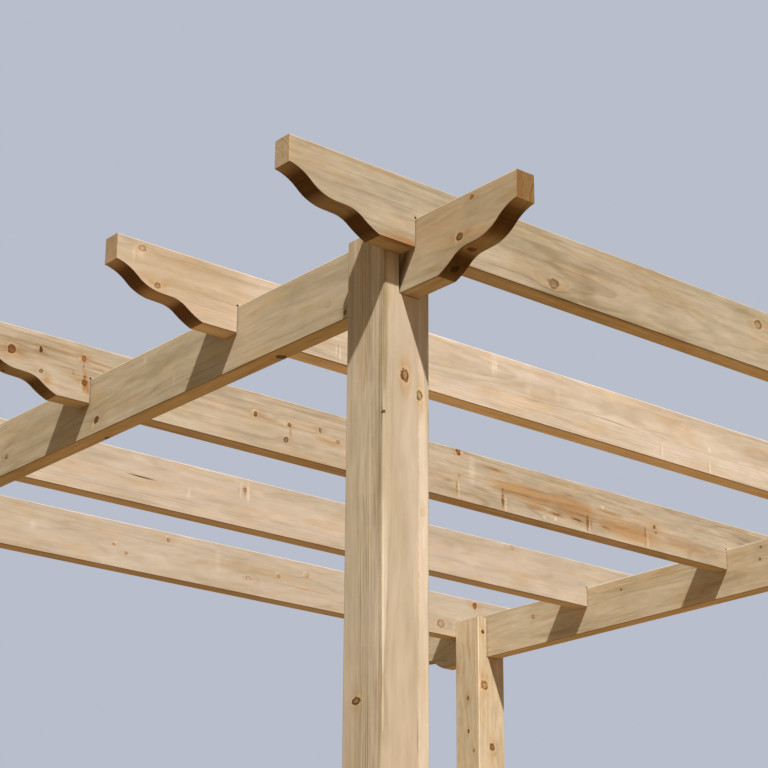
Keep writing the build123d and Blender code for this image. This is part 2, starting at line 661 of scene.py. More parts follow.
@dataclass(frozen=True)
class TimberFinish:
    """How one timber is cut from its log and what shows on it."""

    grain: Grain
    pith: tuple[float, float]
    seed: float
    ring_width: float = 0.0045
    wander: float = 0.035
    contrast: float = 0.5
    figure: float = 1.0
    young: float = 0.0
    early: Colour = (0.63, 0.51, 0.365)
    late: Colour = (0.40, 0.285, 0.155)
    shade: Colour = (0.52, 0.415, 0.27)
    end_tint: Colour = (0.93, 0.84, 0.68)
    sawn_tint: Colour = (0.30, 0.22, 0.14)
    # Painted highlight on the upper and side rounded edges.
    edge_tint: Colour = (1.22, 1.24, 1.28)
    knots: tuple[Knot, ...] = ()
    # Stains, and on one post painted shade.
    stains: tuple[Mark, ...] = ()
    # Pale scars, and on two rafters painted bounce light.
    pales: tuple[Mark, ...] = ()
    calms: tuple[Mark, ...] = ()
    # Hairline checks, and on one beam a patch of painted shade.
    checks: tuple[Mark, ...] = ()

    def build(self, name: str, groups: WoodGroups, centre: Vector) -> bpy.types.Material:
        """Make the timber's material.

        Args:
            name: the material's name.
            groups: the shared node groups.
            centre: the point of the row frame that along, side and up are measured from.

        Returns:
            The material.
        """
        return new_material(name, lambda g, here: self._shader_inputs(g, here, groups, centre))

    def _shader_inputs(self, g: Graph, here: Wire, groups: WoodGroups, centre: Vector) -> dict[str, Value]:
        """Draw the wood.

        Args:
            g: the material's graph.
            here: the place in Object coordinates.
            groups: the shared node groups.
            centre: the point that along, side and up are measured from.

        Returns:
            What goes into the shader.
        """
        turn = self.grain.turn()
        moved = -(turn.to_matrix() @ centre) - Vector((0.0, *self.pith))
        placed = {"Vector": here, "Rotation": turn, "Location": moved}
        point = g.node("ShaderNodeMapping", placed, vector_type="POINT")
        blurred = point + (g.noise(point, (110.0, 150.0, 150.0)).also("Color") - (0.5, 0.5, 0.5)) * 0.005
        facing = abs(g.node("ShaderNodeNewGeometry", take="Normal").dot(tuple(self.grain.axis())))
        inputs: dict[str, Value] = {
            **self._knot_chain(g, groups, blurred),
            "point": point,
            "stain": self._mark_chain(g, groups, blurred, self.stains),
            "pale": self._mark_chain(g, groups, blurred, self.pales),
            "calm": self._mark_chain(g, groups, point, self.calms),
            "check": self._mark_chain(g, groups, point, self.checks),
            "end": facing.step(0.12, 0.8),
            "sawn": g.node("ShaderNodeAttribute", take="Fac", attribute_name=SAWN_ATTRIBUTE),
            "eased": g.node("ShaderNodeAttribute", take="Fac", attribute_name=EASED_ATTRIBUTE),
        }
        for name in (
            "seed", "ring_width", "wander", "contrast", "figure", "young",
            "early", "late", "shade", "end_tint", "sawn_tint", "edge_tint",
        ):
            inputs[name] = getattr(self, name)
        wood = g.node("ShaderNodeGroup", inputs, "colour", node_tree=groups.softwood)
        bump = g.node("ShaderNodeBump", {"Strength": 0.7, "Distance": 1.0, "Height": wood.also("height")})
        surface = {"Base Color": wood, "Roughness": wood.also("roughness"), "Normal": bump}
        return {"Specular IOR Level": 0.25, **surface}

    def _knot_chain(self, g: Graph, groups: WoodGroups, point: Wire) -> dict[str, Value]:
        """Chain one group for each knot.

        Args:
            g: the material's graph.
            groups: the shared node groups.
            point: the place, measured from the pith.

        Returns:
            The nearest knot, its kind, the warm wood around and the rings' bulge.
        """
        handed: dict[str, Value] = {"nearest": 9.0, "kind": (0.0, 0.0, 0.0), "glow": 0.0, "bulge": 0.0}
        for knot in self.knots:
            start = Vector((knot.along - knot.lean, 0.0, 0.0))
            direction = Vector((knot.along, knot.side - self.pith[0], knot.up - self.pith[1])) - start
            inputs = {
                "point": point,
                "start": start,
                "direction": direction.normalized(),
                "spread": knot.radius / direction.length,
                "own_kind": (knot.redness, knot.weight, knot.fill),
            }
            made = g.node("ShaderNodeGroup", {**inputs, **handed}, node_tree=groups.knot)
            handed = {label: made.also(label) for label in handed}
        return handed

    def _mark_chain(self, g: Graph, groups: WoodGroups, point: Wire, marks: Sequence[Mark]) -> Value:
        """Chain one group for each mark.

        Args:
            g: the material's graph.
            groups: the shared node groups.
            point: the place, measured from the pith.
            marks: the marks to chain.

        Returns:
            How strongly the place is marked.
        """
        strength: Value = 0.0
        for mark in marks:
            inputs = {
                "point": point,
                "centre": (mark.along, mark.side - self.pith[0], mark.up - self.pith[1]),
                "fall": (0.0, 0.0, mark.fall),
                "inverse": (1 / mark.half_length, 1 / mark.half_depth, 1 / mark.half_height),
                "amount": mark.amount,
                "softness": mark.softness,
                "strength": strength,
            }
            strength = g.node("ShaderNodeGroup", inputs, node_tree=groups.mark)
        return strength


# ---------------------------------------------------------------------------------------- timbers
class Cut(Enum):
    """How a face of a timber was made."""

    PLANED = 0.0
    SAWN = 1.0


@dataclass(frozen=True)
class Corner:
    """A point of a timber's side view, and the edge that leaves it."""

    along: float
    height: float
    ease: float
    cut: Cut = Cut.PLANED

    def place(self) -> Vector:
        """Return the point."""
        return Vector((self.along, self.height))


@dataclass(frozen=True)
class EasedSlab:
    """A side view given a thickness, with every edge of its two sides rounded over."""

    corners: tuple[Corner, ...]
    thickness: float
    arc_steps: int = 3
    crease: float = math.radians(18.0)
    # Ease at which a rounded edge takes its full share of painted highlight and shade.
    worn_ease: float = 0.003
    sharp_cross: float = 0.5
    fill_tolerance: float = 0.000001

    def mesh(self, name: str, placement: Matrix) -> bpy.types.Mesh:
        """Build the mesh.

        Args:
            name: name of the mesh.
            placement: turns along, height and thickness into the row frame.

        Returns:
            A closed mesh with its faces outward and its sawn faces marked.
        """
        bm = bmesh.new()
        sawn = bm.faces.layers.float.new(SAWN_ATTRIBUTE)
        eased = bm.faces.layers.float.new(EASED_ATTRIBUTE)
        outline, *others = self._rows()
        rows = [[bm.verts.new(placement @ point) for point in row] for row in (outline, *others)]
        for number, (upper, lower) in enumerate(zip(rows, rows[1:])):
            for k, corner in enumerate(self.corners):
                after = (k + 1) % len(self.corners)
                face = bm.faces.new((upper[k], upper[after], lower[after], lower[k]))
                face.smooth = True
                face[sawn] = corner.cut.value
                # Rounded strips take a share of painted shade on edges underneath, and of painted highlight
                # elsewhere.
                edge_light_share = 0.0 if number == self.arc_steps else min(1.0, corner.ease / self.worn_ease)
                underneath = self.corners[after].along > corner.along
                face[eased] = -edge_light_share if underneath else edge_light_share
        for triangle in self._fill(outline):
            for row in (rows[0], rows[-1]):
                bm.faces.new([row[k] for k in triangle]).smooth = False
        self._crease(bm, rows)
        bmesh.ops.recalc_face_normals(bm, faces=bm.faces)
        mesh = bpy.data.meshes.new(name)
        bm.to_mesh(mesh)
        bm.free()
        return mesh

    def _fill(self, outline: Sequence[Vector]) -> list[list[int]]:
        """Divide a flat side into triangles.

        Args:
            outline: the side's points, in order.

        Returns:
            The triangles, as numbers of points.
        """
        flat = [point.to_2d() for point in outline]
        around = [list(range(len(flat)))]
        inside_only = 1
        filled = delaunay_2d_cdt(flat, [], around, inside_only, self.fill_tolerance)
        triangles, original = filled[2], filled[3]
        return [[original[corner][0] for corner in triangle] for triangle in triangles]

    def _crease(self, bm: bmesh.types.BMesh, rows: list[list[bmesh.types.BMVert]]) -> None:
        """Keep the shading apart at real corners and where the rounding starts.

        Args:
            bm: the mesh being built.
            rows: its rows of points.
        """
        count = len(self.corners)
        for k in range(count):
            before, here, after = (corner.place() for corner in self._around(k))
            if (here - before).angle(after - here) > self.crease:
                for upper, lower in zip(rows, rows[1:]):
                    bm.edges.get((upper[k], lower[k])).smooth = False
            for row in rows[self.arc_steps:self.arc_steps + 2]:
                bm.edges.get((row[k], row[(k + 1) % count])).smooth = False

    def _around(self, k: int) -> Iterator[Corner]:
        """Give the corner before one, the corner itself, and the one after."""
        return (self.corners[(k + step) % len(self.corners)] for step in (-1, 0, 1))

    def _inset(self, k: int) -> tuple[Vector, float]:
        """Find how a corner moves when the outline shrinks by its edges' radii.

        Args:
            k: the corner's number.

        Returns:
            The move inward, and the radius at the corner.
        """
        before, here, after = self._around(k)
        first = (here.place() - before.place()).normalized()
        second = (after.place() - here.place()).normalized()
        in_first = Vector((-first.y, first.x))
        in_second = Vector((-second.y, second.x))
        cross = in_first.x * in_second.y - in_first.y * in_second.x
        radius = max(before.ease, here.ease)
        if abs(cross) > self.sharp_cross:
            x = (before.ease * in_second.y - here.ease * in_first.y) / cross
            y = (here.ease * in_first.x - before.ease * in_second.x) / cross
            return Vector((x, y)), radius
        mean = (before.ease + here.ease) / 2
        return (in_first + in_second) * (mean / (1 + in_first.dot(in_second))), radius

    def _rows(self) -> Iterator[list[Vector]]:
        """Give the rows of points from one side of the slab to the other.

        Returns:
            The rows, in turn.
        """
        insets = [self._inset(k) for k in range(len(self.corners))]
        angles = [math.pi / 2 * s / self.arc_steps for s in range(self.arc_steps + 1)]
        for side, order in ((1, angles), (-1, angles[::-1])):
            for angle in order:
                row = []
                for corner, (move, radius) in zip(self.corners, insets):
                    flat = corner.place() + move * (1 - math.sin(angle))
                    across = self.thickness / 2 - radius * (1 - math.cos(angle))
                    row.append(Vector((flat.x, flat.y, side * across)))
                yield row


def turned(arm: Vector, angle: float) -> Vector:
    """Return a flat vector turned left by an angle."""
    cosine, sine = math.cos(angle), math.sin(angle)
    return Vector((arm.x * cosine - arm.y * sine, arm.x * sine + arm.y * cosine))


def tangent_arc(start: Vector, end: Vector, tangent: Vector, steps: int) -> tuple[list[Vector], Vector]:
    """Draw an arc that leaves its start along a tangent.

    Args:
        start: first point.
        end: last point.
        tangent: direction at the start.
        steps: number of chords.

    Returns:
        The points after the start, and the direction at the end.
    """
    chord = end - start
    aside = Vector((-tangent.y, tangent.x))
    centre = start + aside * (chord.length_squared / (2 * chord.dot(aside)))
    sweep = 2 * math.atan2(tangent.x * chord.y - tangent.y * chord.x, tangent.dot(chord))
    points = [centre + turned(start - centre, sweep * step / steps) for step in range(1, steps)]
    return [*points, end.copy()], turned(tangent, sweep)


@dataclass(frozen=True)
class WaveEnd:
    """The double wave under a board's end, as runs along it and drops from one turn to the next."""

    nose_depth: float = 0.048
    nose_slope: float = 8.0
    upper_turn: tuple[float, float] = (0.044, 0.020)
    upper: tuple[float, float] = (0.095, 0.040)
    ledge: tuple[float, float] = (0.022, 0.001)
    lower_turn: tuple[float, float] = (0.031, 0.011)
    lower_run: float = 0.067
    steps: int = 12

    def points(self, depth: float) -> list[Vector]:
        """Draw the wave of a left end.

        Args:
            depth: the board's depth.

        Returns:
            Points from the nose's foot to the lower edge, as run and height.
        """
        foot = Vector((0.0, depth - self.nose_depth))
        slope = Vector((math.cos(math.radians(self.nose_slope)), -math.sin(math.radians(self.nose_slope))))
        upper_turn = self._below(foot, self.upper_turn)
        upper_foot = self._below(foot, self.upper)
        ledge_end = self._below(upper_foot, self.ledge)
        lower_turn = self._below(ledge_end, self.lower_turn)
        landing = Vector((ledge_end.x + self.lower_run, 0.0))
        bulge, slope = tangent_arc(foot, upper_turn, slope, self.steps)
        hollow, _ = tangent_arc(upper_turn, upper_foot, slope, self.steps)
        second, slope = tangent_arc(ledge_end, lower_turn, (ledge_end - upper_foot).normalized(), self.steps)
        last, _ = tangent_arc(lower_turn, landing, slope, self.steps)
        return [foot, *bulge, *hollow, ledge_end, *second, *last]

    @staticmethod
    def _below(start: Vector, way: tuple[float, float]) -> Vector:
        """Return the point some run along and some drop below another."""
        return start + Vector((way[0], -way[1]))


@dataclass
class Timber:
    """One timber of the frame, with the CAD node that it stands for."""

    node: str
    finish: TimberFinish
    groups: WoodGroups
    low: Vector = field(init=False)
    high: Vector = field(init=False)

    def __post_init__(self) -> None:
        """Read the timber's box from the frame."""
        self.low, self.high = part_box(self.node)

    @property
    def foot(self) -> Vector:
        """Return the middle of the lower side of the timber's box."""
        middle = (self.low + self.high) / 2
        return Vector((middle.x, middle.y, self.low.z))

    def raise_slab(self, slab: EasedSlab, along: Vector, measured_from: Vector) -> None:
        """Set a slab upright in the timber's place, and give it its wood.

        Args:
            slab: the timber's shape, as seen from the side.
            along: where its first direction points in the row frame.
            measured_from: the point that knots and marks are measured from.
        """
        up = Vector((0.0, 0.0, 1.0))
        turn = Matrix((along, up, along.cross(up))).transposed().to_4x4()
        placement = Matrix.Translation(self.foot) @ turn
        mesh = slab.mesh(f"{self.node}_timber", placement)
        mesh.materials.append(self.finish.build(f"wood_{self.node}", self.groups, measured_from))
        piece = new_object(mesh.name, mesh)
        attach(piece, BODY)
        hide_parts(self.node)
        log.info("%s: %d faces, %d knots", piece.name, len(mesh.polygons), len(self.finish.knots))


@dataclass
class Board(Timber):
    """A beam or a rafter: a plank on edge with a double wave under both ends."""

    notches: tuple[float, ...] = ()
    notch_width: float = 0.040
    notch_depth: float = 0.053
    wave: WaveEnd = WaveEnd()
    relief: float = 0.0020
    arris: float = 0.0020
    cut_arris: float = 0.0009
    joint_arris: float = 0.0003

    def corners(self, length: float, depth: float) -> tuple[Corner, ...]:
        """Draw the board's side view, from the left nose along its lower edge and back over the top.

        Args:
            length: the board's length.
            depth: the board's depth.

        Returns:
            The corners, turning left all the way.
        """
        half = length / 2
        wave = self.wave.points(depth)
        left = [Corner(p.x - half, p.y, self.cut_arris, Cut.SAWN) for p in wave[:-1]]
        left.append(Corner(wave[-1].x - half, 0.0, self.arris))
        lower = [corner for middle in self.notches for corner in self._notch(middle)]
        right = [Corner(half - p.x, p.y, self.cut_arris, Cut.SAWN) for p in reversed(wave[1:])]
        right.append(Corner(half, wave[0].y, self.cut_arris))
        return (*left, *lower, *right, Corner(half, depth, self.arris), Corner(-half, depth, self.cut_arris))

    def _notch(self, middle: float) -> list[Corner]:
        """Draw one notch in the lower edge, with the round relief that the saw leaves in its corners.

        Args:
            middle: the notch's middle, along the board.

        Returns:
            Its corners.
        """
        start = middle - self.notch_width / 2
        end = middle + self.notch_width / 2
        mouth = 1.5 * self.arris
        splay = 2 * self.joint_arris
        fine = self.joint_arris
        turns = [math.radians(angle) for angle in range(-90, -361, -45)]
        relief = [(self.relief * math.cos(a), self.notch_depth + self.relief * math.sin(a)) for a in turns]
        return [
            Corner(start, 0.0, splay, Cut.SAWN),
            Corner(start, mouth, fine, Cut.SAWN),
            *(Corner(start + x, y, fine, Cut.SAWN) for x, y in relief),
            *(Corner(end - x, y, fine, Cut.SAWN) for x, y in reversed(relief)),
            Corner(end, mouth, splay, Cut.SAWN),
            Corner(end, 0.0, self.arris),
        ]

    def build(self) -> None:
        """Make the board."""
        size = self.high - self.low
        lies_along_x = self.finish.grain is Grain.ALONG_X
        length, thickness = (size.x, size.y) if lies_along_x else (size.y, size.x)
        along = Vector((1.0, 0.0, 0.0)) if lies_along_x else Vector((0.0, 1.0, 0.0))
        slab = EasedSlab(self.corners(length, size.z), thickness)
        self.raise_slab(slab, along, (self.low + self.high) / 2)


@dataclass
class Post(Timber):
    """A square post whose head is cut open for the beam."""

    slot_middle: float = 0.0041
    slot_width: float = 0.0418
    slot_depth: float = 0.110
    arris: float = 0.003
    head_arris: float = 0.0015
    joint_arris: float = 0.0003
    seat_arris: float = 0.0012
    foot_arris: float = 0.001
    arc_steps: int = 4

    def corners(self, width: float, length: float) -> tuple[Corner, ...]:
        """Draw the post's front view from its left foot round to the left again.

        Args:
            width: the post's width.
            length: the post's length.

        Returns:
            The corners, turning left all the way.
        """
        half = width / 2
        slot_low = length - self.slot_depth
        slot_left = self.slot_middle - self.slot_width / 2
        slot_right = self.slot_middle + self.slot_width / 2
        return (
            Corner(-half, 0.0, self.foot_arris),
            Corner(half, 0.0, self.arris),
            Corner(half, length, self.head_arris),
            Corner(slot_right, length, self.joint_arris, Cut.SAWN),
            Corner(slot_right, slot_low, self.seat_arris, Cut.SAWN),
            Corner(slot_left, slot_low, self.joint_arris, Cut.SAWN),
            Corner(slot_left, length, self.head_arris),
            Corner(-half, length, self.arris),
        )

    def build(self) -> None:
        """Make the post."""
        size = self.high - self.low
        slab = EasedSlab(self.corners(size.x, size.z), size.y, self.arc_steps)
        self.raise_slab(slab, Vector((1.0, 0.0, 0.0)), self.foot)


# ---------------------------------------------------------------------------------------- finishes
def scattered(
    seed: int, count: int, reach: tuple[float, float], half: tuple[float, float]
) -> tuple[Knot, ...]:
    """Spread knots over the sides of a timber that nothing else settles.

    Args:
        seed: fixes the draw.
        count: number of knots.
        reach: first and last place along the timber.
        half: half of the section, sideways and up.

    Returns:
        The knots.
    """
    draw = random.Random(seed)
    knots = []
    for k in range(count):
        along = reach[0] + (reach[1] - reach[0]) * (k + draw.uniform(0.15, 0.85)) / count
        side = draw.choice((-1, 1)) * half[0]
        up = draw.uniform(-0.8, 0.8) * half[1]
        radius = draw.uniform(0.0035, 0.0085)
        redness, lean = draw.uniform(0.1, 0.8), draw.uniform(-0.01, 0.01)
        weight, fill = draw.uniform(0.35, 0.9), draw.uniform(0.0, 0.6)
        knots.append(Knot(along, side, up, radius, redness, weight, fill, lean))
    return tuple(knots)


class Finishes:
    """The eleven timbers' finishes: where each was cut from its log, and what shows on it.

    Knots and marks stand in rows for one side each, in the order of their class's fields. They
    are measured from the middle of a board, or from the foot of a post.
    """

    @staticmethod
    def rafters() -> dict[str, TimberFinish]:
        """List the rafters' finishes, from the front one to the back one.

        Returns:
            The finishes by node.
        """
        front = -19
        return {
            "rafter_1": TimberFinish(
                Grain.ALONG_X, (0.062, -0.012), 1.0, contrast=0.50, early=(0.445, 0.365, 0.256),
                shade=(0.38, 0.307, 0.198), late=(0.27, 0.20, 0.108), end_tint=(1.02, 0.94, 0.80),
                sawn_tint=(0.185, 0.116, 0.050),
                knots=Knot.on(
                    front, (-631.6, -35.8, 8, 0.75, 0.6, 0.05), (-99.5, 28.6, 7.6, 0.7, 0.7, 0.05),
                ) + scattered(11, 4, (0.15, 1.1), BOARD_HALF),
                stains=Mark.on(
                    front, (-966, -61, 90, 23.5, 0.86, 0.7), (-500, -12, 90, 6, 0.22, 0.9, 0.1),
                    (-360, 4, 120, 5, 0.22, 0.9, 0.07), (-470, 20, 130, 70, 0.16, 0.8),
                ),
                # The first pale mark is painted bounce light: it lightens the whole underside and the lowest
                # few millimetres of the sides.
                pales=Mark.on(0, (270, -62, 1200, 8, 1, 0.3, 0, 30)) + Mark.on(
                    front, (-585, 30, 50, 22, 0.25, 0.9), (-100, -4, 30, 18, 0.25, 0.9),
                    (-160, 10, 160, 80, 0.22, 0.8),
                ),
            ),
            "rafter_2": TimberFinish(
                Grain.ALONG_X, (0.055, 0.018), 2.0, contrast=0.36, figure=0.6, early=(0.63, 0.52, 0.405),
                shade=(0.54, 0.44, 0.325), end_tint=(0.74, 0.63, 0.47), sawn_tint=(0.23, 0.158, 0.09),
                knots=Knot.on(
                    front, (-1114.2, -15.4, 4.6, 0.8, 0.65, 0.3), (-1149.6, 45, 5.6, 0.9, 0.45, 0.15, 10),
                ) + scattered(12, 3, (0.45, 1.1), BOARD_HALF),
                stains=Mark.on(
                    front, (-1040, 0, 210, 90, 0.41, 0.5), (-430, 49, 130, 8, 0.4, 0.9),
                    (-200, 46, 160, 7, 0.35, 0.9), (-760, 10, 140, 80, 0.17, 0.8),
                    (-711.5, -34, 1.8, 16, 0.6, 0.5), (153, -34, 1.8, 22, 0.4, 0.6),
                    (300, -44, 2.2, 20, 0.45, 0.6),
                ),
                # The first pale mark is painted bounce light: it lightens the whole underside and the lowest
                # few millimetres of the sides.
                pales=Mark.on(0, (0, -62, 1400, 8, 0.6, 0.3, 0, 30)) + Mark.on(
                    front, (-1150, 40, 10, 20, 0.55, 0.7), (-1165, 30, 4, 22, 0.45, 0.7),
                    (-323, 26, 3.6, 24, 0.6, 0.8), (-314, 36, 3.6, 22, 0.65, 0.8),
                    (-319, 34, 12, 34, 0.4, 0.9), (-707.5, -38, 3.6, 20, 0.8, 0.7),
                    (-716, -36, 3.4, 16, 0.6, 0.7), (-227.7, 10.8, 16, 22, 0.4, 0.9),
                    (-144.2, 13.8, 12, 22, 0.45, 0.9), (159, -40, 3.6, 22, 0.6, 0.7),
                    (308.1, -4, 6, 10, 0.5, 0.8), (307, -46, 3.6, 22, 0.65, 0.7),
                    (-360, -2, 100, 12, 0.3, 0.9), (50, 10, 260, 90, 0.2, 0.8),
                ),
                checks=Mark.on(front, (11, -8.2, 85, 0.7, 0.75, 0.6, -0.03, 3)),
            ),
            "rafter_3": TimberFinish(
                Grain.ALONG_X, (0.030, -0.052), 3.0, ring_width=0.0042, contrast=0.46,
                early=(0.50, 0.41, 0.30), shade=(0.415, 0.33, 0.228), sawn_tint=(0.28, 0.23, 0.14),
                knots=Knot.on(
                    front, (-1120, 8.4, 5.6, 0.8, 1, 0.9), (-1056.4, 24.6, 3, 0, 1, 0.9),
                    (-1054, -19, 3.4, 0.3, 0.7, 0.6), (-959.4, 28.8, 3.4, 0.9, 1, 0.4),
                    (-955.3, -19.5, 5, 0.75, 1, 1), (-542, 13, 3.6, 0.35, 0.85, 0.8),
                    (-454, 9, 2.8, 0.3, 0.8, 0.7), (-461.7, -26.5, 5, 0.2, 0.8, 0),
                    (-372, 14, 3.2, 0.4, 0.7, 0.5), (-323, -1, 3.4, 0.5, 0.5, 0.4),
                    (20.6, 55.1, 4.5, 0.8, 1, 0.8), (24, -3.3, 3.4, 0.6, 0.3, 0.4),
                    (654.2, -0.4, 3.4, 0.5, 0.9, 0.8), (660.4, -12.3, 2.6, 0.6, 0.8, 0.6),
                ),
                stains=Mark.on(
                    front, (-1120, 8.4, 40, 24, 0.3, 0.9), (-1040, -34, 16, 16, 0.6, 0.8),
                    (-1060, 34, 100, 5, 0.5, 0.9, -0.02), (-1020, 46, 120, 4, 0.45, 0.9, -0.01),
                    (-959.4, 28.8, 14, 10, 0.75, 0.8), (-960, 11, 2.8, 14, 0.85, 0.5),
                    (-982.5, -4.3, 5, 6, 0.7, 0.7), (-955.2, -18, 8, 30, 1, 0.6),
                    (-948, -30, 7, 20, 0.85, 0.7), (-925, 27, 40, 3.5, 0.75, 0.7, -0.06),
                    (-920, 15, 40, 3.5, 0.7, 0.7, -0.06), (-600, 16, 160, 6, 0.35, 0.9, -0.03),
                    (-420, 18, 120, 6, 0.35, 0.9, -0.06), (-515, 8, 60, 5, 0.6, 0.8, -0.12),
                    (-450, -8, 5, 18, 0.6, 0.7), (-350, -6, 50, 8, 0.55, 0.8, -0.08),
                    (124.4, 35.5, 60, 7, 0.78, 0.7, -0.04), (16, -30, 3.4, 22, 0.85, 0.5),
                    (-10, -20, 22, 6, 0.7, 0.7), (240, -2, 150, 28, 0.74, 0.6, -0.02),
                    (380, -8, 130, 40, 0.74, 0.6, -0.06), (560, -26, 190, 32, 0.7, 0.6, -0.04),
                    (760, -28, 180, 22, 0.58, 0.8, -0.02), (-60, -10, 120, 20, 0.42, 0.8),
                    (155.7, -26, 5.2, 38, 1, 0.4), (262, -27, 48, 7.5, 1, 0.8, -0.05),
                    (325, -32.5, 44, 8, 1, 0.8, -0.03), (392, -32.5, 46, 7, 1, 0.8, -0.1),
                    (210, 4, 60, 4.5, 0.85, 0.8, -0.02), (330, 8, 70, 5, 0.85, 0.8, -0.08),
                    (426.5, -31.5, 6, 28, 1, 0.4), (438, -30, 10, 22, 0.8, 0.7),
                    (500, 5, 70, 7, 0.95, 0.8, -0.06), (492, -34, 48, 8.5, 1, 0.8, -0.1),
                    (580, -29, 70, 9, 0.8, 0.7, -0.03), (621.5, -29, 5.6, 32, 1, 0.4),
                    (760, -12, 140, 8, 0.5, 0.9, -0.04), (740, -32, 110, 4.5, 0.8, 0.8, 0.01),
                    (230, -9, 75, 5, 0.9, 0.8, -0.16), (410, -19, 75, 5, 0.9, 0.8, -0.07),
                ),
                pales=Mark.on(
                    front, (62, 20, 14, 45, 0.55, 0.8), (22.5, -36, 3.4, 24, 0.9, 0.5),
                    (165.5, -40, 4, 22, 0.9, 0.5), (210, -46, 45, 8, 0.4, 0.8), (286.2, -46.9, 8, 6, 1, 0.6),
                    (321.8, -45, 7, 6, 1, 0.6), (478.5, 15, 7, 6, 1, 0.6), (433.5, -36, 2.4, 18, 0.8, 0.5),
                    (540, -12, 70, 8, 0.45, 0.8), (631, -34, 3.8, 24, 0.8, 0.5), (33, 54, 7, 7, 0.7, 0.7),
                    (-548, 16, 8, 7, 0.8, 0.7), (-465, 7.5, 6, 8, 0.8, 0.7), (-374, 15, 5, 9, 0.7, 0.7),
                    (-1116, 0, 20, 16, 0.3, 0.6), (-969, 29, 5, 6, 0.8, 0.7),
                ),
            ),
            "rafter_4": TimberFinish(
                Grain.ALONG_X, (0.070, 0.014), 4.0, contrast=0.34, figure=0.5, early=(0.56, 0.46, 0.355),
                shade=(0.475, 0.385, 0.285),
                knots=Knot.on(
                    front, (642.9, 52, 6, 0.5, 0.25, 0.1), (-212.2, 32, 4.5, 0.7, 0.55, 0.3),
                ) + scattered(14, 3, (-1.15, -0.8), BOARD_HALF),
                stains=Mark.on(
                    front, (-212.2, 30, 4, 20, 0.7, 0.6), (-600, 10, 140, 4, 0.35, 0.9, -0.02),
                    (250, -20, 50, 6, 0.4, 0.9), (480, 6, 40, 6, 0.4, 0.9),
                ),
                pales=Mark.on(
                    front, (-202, 26, 6, 30, 0.8, 0.7), (-224, 28, 4, 24, 0.6, 0.7),
                    (-370, -10, 6, 20, 0.4, 0.8),
                ),
                checks=Mark.on(front, (-499.7, 3.2, 48, 2.2, 1, 0.6, -0.02, 3)),
            ),
            "rafter_5": TimberFinish(
                Grain.ALONG_X, (0.058, -0.022), 5.0, contrast=0.36, figure=0.5, early=(0.535, 0.445, 0.345),
                shade=(0.455, 0.37, 0.27),
                knots=Knot.on(
                    front, (157.6, -15.9, 6.2, 0.7, 0.35, 0.05), (255.6, 6.7, 5, 0.7, 0.35, 0.3),
                    (350.3, 25.2, 5, 0.7, 0.35, 0.3), (-96.5, 39.3, 4, 0.8, 0.6, 0.4),
                    (-257.7, -2.5, 3.6, 0.8, 0.5, 0.4), (-220.7, -18.1, 4, 0.8, 0.55, 0.4),
                    (954, 44, 6, 1, 1, 0.6),
                ) + scattered(15, 3, (0.6, 1.15), BOARD_HALF),
                stains=Mark.on(front, (340, -13.4, 100, 2.2, 0.6, 0.7, 0, 4), (954, 40, 6, 16, 0.7, 0.6)),
                pales=Mark.on(
                    front, (-490, 4, 14, 14, 0.4, 0.8), (60, 14, 12, 35, 0.4, 0.8),
                    (-100, 45, 6, 9, 0.6, 0.7), (-252, 4, 7, 7, 0.5, 0.7), (157.6, -15.9, 11, 11, 0.45, 0.7),
                    (250, 12, 8, 10, 0.55, 0.7), (344, 29, 11, 9, 0.55, 0.7),
                ),
            ),
        }

